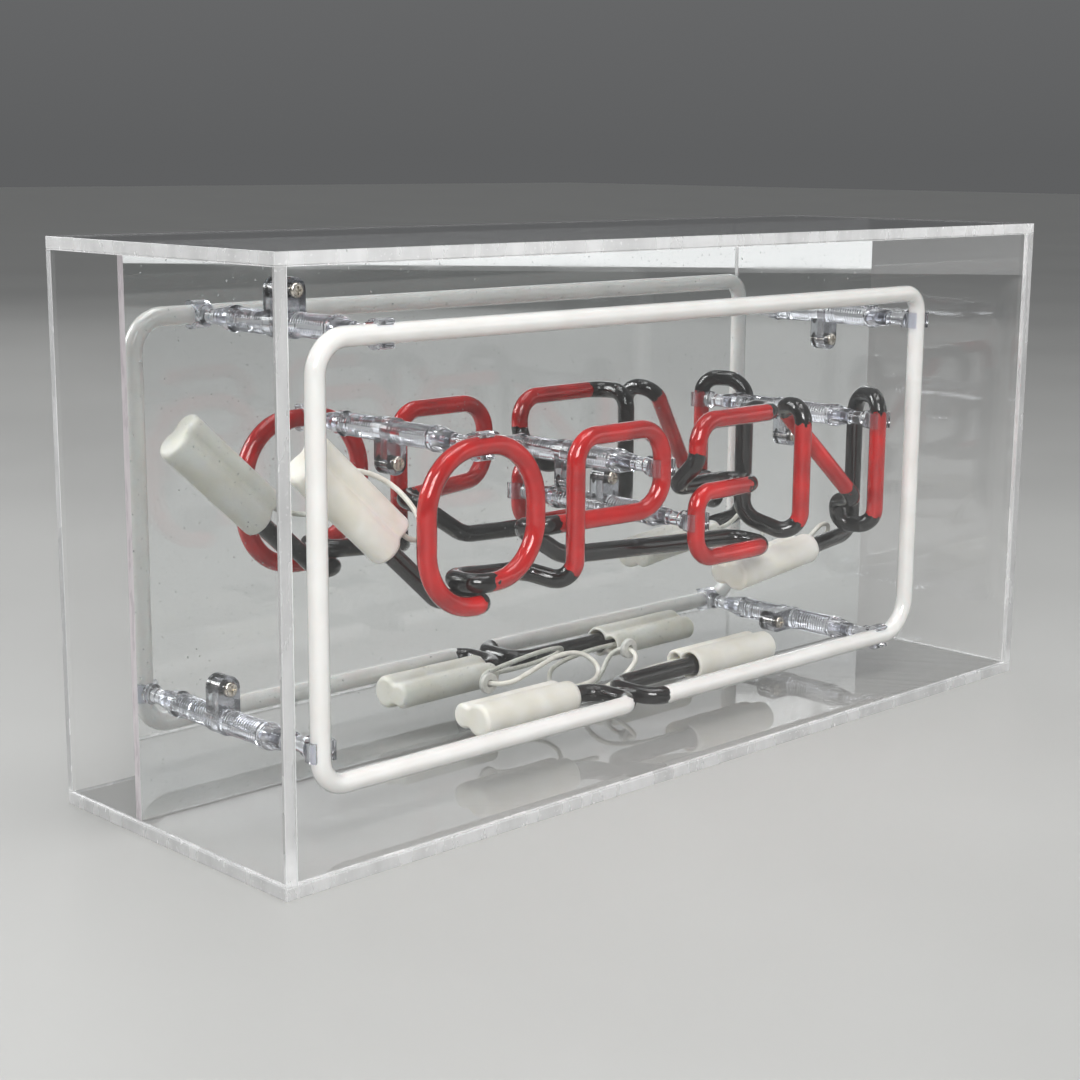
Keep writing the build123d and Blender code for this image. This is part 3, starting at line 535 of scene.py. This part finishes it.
def case_sheet(node):
    low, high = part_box(node)
    shape = bmesh.new()
    bmesh.ops.create_cube(shape, size=1.0)
    size = high - low
    shrink = Vector((0.0, 0.0, 0.0))
    if thin_way[node] != 2:
        shrink.z = 2 * cement
    if node == "front_panel":
        shrink.x = 2 * cement
    bmesh.ops.scale(shape, vec=size - shrink, verts=shape.verts)
    bmesh.ops.translate(shape, vec=(low + high) / 2, verts=shape.verts)
    bmesh.ops.bevel(
        shape, geom=shape.edges[:], offset=arris, affect="EDGES", segments=2, profile=0.5, material=-1
    )
    shape.normal_update()
    for face in shape.faces:
        face.material_index = 0 if abs(face.normal[thin_way[node]]) > 0.99 else 1
    mesh = bpy.data.meshes.new("sheet_" + node)
    shape.to_mesh(mesh)
    shape.free()
    mesh.materials.append(finishes["clear_acrylic"])
    mesh.materials.append(sawn_edge_and_painted_highlight)
    return stand_in("sheet_" + node, mesh, node, "case")


for node in thin_way:
    case_sheet(node)


# ---- mirror sheet ----
def mirror_sheet():
    shape = own_copy("mirror_panel")
    shape.normal_update()
    for face in shape.faces:
        face.material_index = 0 if face.normal.y < -0.9 else 2 if face.normal.y > 0.9 else 1
    mesh = bpy.data.meshes.new("mirror_sheet")
    shape.to_mesh(mesh)
    shape.free()
    for finish in (finishes["mirror_acrylic"], sheet_edge, backing):
        mesh.materials.append(finish)
    return stand_in("mirror_sheet", mesh, "mirror_panel", "neon_unit")


mirror_sheet()

# ---- glass tubes: (x, y, z, bend radius, coat from here on) in mm ----
tube_radius = 4.3 * mm
bulb_radius = 5.4 * mm
bulb_length = 50.0 * mm
bulb_taper = 9.0 * mm
paint_lap = 5.0 * mm
front = -36.2
behind = -17.5
clear_coat = "colour"
black_coat = "black"
straight_step = 1.2 * mm
arc_step = 1.4 * mm
hand_swell = 0.008
hand_swell_length = 14 * mm

letter_route = [
    (-180.5, behind, 143.0, 0, black_coat),
    # letter O, round once, its second end just above the first
    (-118.0, behind, 86.0, 9, black_coat),
    (-106.0, behind, 86.0, 8, black_coat),
    (-106.0, front, 86.0, 8, clear_coat),
    (-140.5, front, 86.0, 26, clear_coat),
    (-140.5, front, 154.0, 27, clear_coat),
    (-78.5, front, 154.0, 27, clear_coat),
    (-78.5, front, 95.0, 24, clear_coat),
    (-113.0, front, 95.0, 8, black_coat),
    (-113.0, behind, 95.0, 8, black_coat),
    (-68.0, behind, 92.0, 12, black_coat),
    # letter P
    (-54.0, front, 86.0, 9, clear_coat),
    (-54.0, front, 152.0, 12, clear_coat),
    (2.0, front, 152.0, 15, clear_coat),
    (2.0, front, 114.0, 15, clear_coat),
    (-63.0, -24.0, 112.0, 7, black_coat),
    (-63.0, -9.0, 110.0, 7, black_coat),
    (-36.0, -10.0, 93.0, 25, black_coat),
    # letter E
    (80.5, -14.0, 87.0, 10, black_coat),
    (80.5, front, 86.0, 10, clear_coat),
    (26.5, front, 86.0, 12, clear_coat),
    (26.5, front, 118.0, 9, clear_coat),
    (70.0, front, 118.0, 8, black_coat),
    (70.0, -18.5, 118.0, 8, black_coat),
    (26.5, -22.0, 119.0, 8, black_coat),
    (26.5, front, 133.0, 12, clear_coat),
    (26.5, front, 152.0, 12, clear_coat),
    (84.0, front, 152.0, 9, black_coat),
    (84.0, -16.0, 152.0, 9, black_coat),
    (84.0, -16.0, 98.0, 12, black_coat),
    # letter N
    (105.0, front, 86.0, 9, clear_coat),
    (105.0, front, 152.0, 8, black_coat),
    (108.0, -18.0, 152.0, 8, clear_coat),
    (153.0, -34.0, 100.0, 6.5, black_coat),
    (158.0, -18.0, 97.0, 6.5, black_coat),
    (161.0, -18.0, 84.0, 6.5, black_coat),
    (167.0, front, 85.0, 9, clear_coat),
    (167.0, front, 152.0, 9, black_coat),
    (178.0, -13.2, 152.0, 12, black_coat),
    (178.0, -13.2, 77.0, 12, black_coat),
    (96.3, -13.2, 67.9, 0, black_coat),
]
border_route = [
    (-73.5, -8.2, 24.0, 0, black_coat),
    (-12.8, -8.2, 24.0, 10, black_coat),
    (-12.8, front, 24.0, 10, clear_coat),
    (-196.9, front, 24.0, 12, clear_coat),
    (-196.9, front, 204.0, 15, clear_coat),
    (196.9, front, 204.0, 10, clear_coat),
    (196.9, front, 24.0, 19, clear_coat),
    (-1.2, front, 24.0, 10, black_coat),
    (-1.2, -8.2, 24.0, 10, black_coat),
    (101.8, -8.2, 24.0, 0, black_coat),
]


def straight_run(path, end, step):
    """Lengthen a path to end in even steps."""
    start = path[-1]
    count = max(1, round((end - start).length / step))
    path += [start.lerp(end, (i + 1) / count) for i in range(count)]


def bent_path(route):
    """The tube's centre line, and where along it each change of coat lies."""
    spots = [Vector(stop[:3]) * mm for stop in route]
    path = [spots[0]]
    changes = []
    for i in range(1, len(spots) - 1):
        corner = spots[i]
        bend = route[i][3] * mm
        into = (corner - spots[i - 1]).normalized()
        out = (spots[i + 1] - corner).normalized()
        turn = into.angle(out)
        start = corner - into * bend * math.tan(turn / 2)
        centre = corner + (out - into).normalized() * bend / math.cos(turn / 2)
        straight_run(path, start, straight_step)
        count = 2 * max(3, round(turn * bend / arc_step))
        axis = into.cross(out)
        for k in range(1, count + 1):
            path.append(centre + Matrix.Rotation(turn * k / count, 3, axis) @ (start - centre))
            if 2 * k == count and route[i][4] != route[i - 1][4]:
                changes.append((len(path) - 1, route[i][4]))
    straight_run(path, spots[-1], straight_step)
    return path, changes


def block_out_depth(along, changes, first_coat):
    """How far each place lies inside the black paint: metres, negative outside it."""
    edges = []
    for index, coat in changes:
        lap = -paint_lap if coat == black_coat else paint_lap
        edges.append(along[index] + lap)
    depths = []
    for place in along:
        passed = sum(edge <= place for edge in edges)
        black = (first_coat == black_coat) == (passed % 2 == 0)
        nearest = min(abs(place - edge) for edge in edges)
        depths.append(nearest if black else -nearest)
    return depths


def bent_tube(node, route, slot):
    """Hand-bent glass: a little thinner and thicker along its length, wider over the electrodes."""
    path, changes = bent_path(route)
    along = [0.0]
    for before, after in zip(path, path[1:]):
        along.append(along[-1] + (after - before).length)
    line = bpy.data.curves.new(node + "_line", "CURVE")
    line.dimensions = "3D"
    line.bevel_depth = tube_radius
    line.bevel_resolution = 8
    line.use_fill_caps = True
    spline = line.splines.new("POLY")
    spline.points.add(len(path) - 1)
    for knot, place, reach in zip(spline.points, path, along):
        knot.co = (*place, 1.0)
        from_end = min(reach, along[-1] - reach)
        widened = min(1.0, max(0.0, (bulb_length - from_end) / bulb_taper))
        hand = 1.0 + hand_swell * noise.noise(Vector((reach / hand_swell_length, 0.0, 0.0)))
        knot.radius = hand * (1 + (bulb_radius / tube_radius - 1) * widened)
    mesh = drawn(line)
    ring = len(mesh.vertices) // len(path)
    depths = block_out_depth(along, changes, route[0][4])
    mask = mesh.attributes.new("block_out", "FLOAT", "POINT")
    last = len(path) - 1
    mask.data.foreach_set("value", [depths[min(i // ring, last)] for i in range(len(mesh.vertices))])
    mesh.materials.clear()
    mesh.materials.append(finishes[slot])
    return stand_in("coated_" + node, mesh, node, "neon_unit")


bent_tube("letter_tube", letter_route, "red_glass")
bent_tube("border_tube", border_route, "white_glass")

# ---- silicone boots: softened, slightly uneven, lips relaxed at the mouth ----
boot_slice = 1.5 * mm
boot_length = 60.0 * mm
softening_passes = 3
sunk = 0.18  # how far the skin sits inside the mould, as a share of the swell
long_swell = 0.35
short_swell = 0.1
swell_depth = 0.4 * mm
boots = {
    "border_boot_left": ((-27.5, -8.2, 24.0), (-1.0, 0.0, 0.0)),
    "border_boot_right": ((55.8, -8.2, 24.0), (1.0, 0.0, 0.0)),
    "letter_boot_left": ((-146.5, -17.5, 112.0), (-0.739, 0.0, 0.674)),
    "letter_boot_right": ((142.0, -13.2, 73.0), (-0.994, 0.0, -0.110)),
}


def soft_boot(node, mouth, way):
    """A moulded boot, sliced into short rings so that its walls can swell and dip by given amounts."""
    shape = own_copy(node)
    mouth = Vector(mouth) * mm
    way = Vector(way).normalized()
    for cut in range(1, int(boot_length / boot_slice)):
        everything = shape.verts[:] + shape.edges[:] + shape.faces[:]
        bmesh.ops.bisect_plane(
            shape, geom=everything, dist=0.001 * mm, plane_co=mouth + way * boot_slice * cut, plane_no=way
        )
    for _ in range(softening_passes):
        bmesh.ops.smooth_vert(
            shape, verts=shape.verts, factor=0.3, use_axis_x=True, use_axis_y=True, use_axis_z=True
        )
    shape.normal_update()
    for vertex in shape.verts:
        swell = noise.noise(vertex.co / (16 * mm)) * long_swell
        swell += noise.noise(vertex.co / (5 * mm)) * short_swell
        vertex.co -= vertex.normal * (sunk + swell) * swell_depth
    mesh = bpy.data.meshes.new("soft_" + node)
    shape.to_mesh(mesh)
    shape.free()
    smooth_mesh(mesh)
    mesh.materials.clear()
    mesh.materials.append(finishes["cream_silicone"])
    return stand_in("soft_" + node, mesh, node, "neon_unit")


for node, (mouth, way) in boots.items():
    soft_boot(node, mouth, way)

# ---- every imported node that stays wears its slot's finish ----
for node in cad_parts.values():
    for place, was in enumerate(node.data.materials):
        node.data.materials[place] = finishes[was.name.split(".")[0]]

# ---- floor and light ----
def pale_floor():
    """Matt painted floor, with a barely visible mottle."""
    finish, tree = blank("matt_floor_paint")
    mottle = grain(tree, 240, 4)
    worn = add(tree, "MapRange", {"Value": mottle, **span(0, 1)})
    tones = {mix_share: worn, mix_first: colour("#c2c2c0"), mix_second: colour("#c9c9c7")}
    body = add(
        tree,
        "BsdfPrincipled",
        {
            "Base Color": add(tree, "Mix", tones, data_type="RGBA"),
            "Roughness": add(tree, "MapRange", {"Value": mottle, **span(0.42, 0.55)}),
        },
    )
    add(tree, "OutputMaterial", {"Surface": body})
    shape = bmesh.new()
    bmesh.ops.create_grid(shape, x_segments=1, y_segments=1, size=12.0)
    mesh = bpy.data.meshes.new("floor")
    shape.to_mesh(mesh)
    shape.free()
    mesh.materials.append(finish)
    floor = bpy.data.objects.new("floor", mesh)
    scene.collection.objects.link(floor)


def softbox(name, place, aim, width, height, watts):
    lamp = bpy.data.lights.new(name, "AREA")
    lamp.shape = "RECTANGLE"
    lamp.size = width
    lamp.size_y = height
    lamp.energy = watts
    holder = bpy.data.objects.new(name, lamp)
    way = Vector(aim) - Vector(place)
    holder.matrix_world = Matrix.Translation(place) @ way.to_track_quat("-Z", "Y").to_matrix().to_4x4()
    holder.visible_camera = False
    scene.collection.objects.link(holder)


pale_floor()
softbox("front_softbox", (1.75, -1.75, 0.62), (0.0, 0.0, 0.3), 1.7, 1.1, 4.5)
softbox("camera_side_softbox", (-1.5, -1.5, 1.3), (0.0, 0.0, 0.12), 1.2, 1.2, 34)
softbox("top_softbox", (-0.1, -0.2, 1.6), (0.0, 0.0, 0.1), 1.3, 0.9, 11)
softbox("rear_softbox", (0.3, 2.2, 1.3), (0.0, 0.0, 0.15), 1.6, 0.8, 7)

world = bpy.data.worlds.new("studio")
world.use_nodes = True
world.node_tree.nodes.clear()
sky = add(world.node_tree, "TexCoord").outputs["Generated"]
rise = add(world.node_tree, "SeparateXYZ", {0: sky}).outputs["Z"]
fade = add(world.node_tree, "MapRange", {"Value": rise, **span(0.0, 1.0, 0.0, 0.7)})
airs = {mix_share: fade, mix_first: colour("#8f9091"), mix_second: colour("#c9cacb")}
air = add(world.node_tree, "Mix", airs, data_type="RGBA")
light = add(world.node_tree, "Background", {"Color": air, "Strength": 0.55})
add(world.node_tree, "OutputWorld", {"Surface": light})
scene.world = world
scene.view_settings.view_transform = "Standard"
scene.view_settings.exposure = 0.2
scene.view_settings.gamma = 0.8
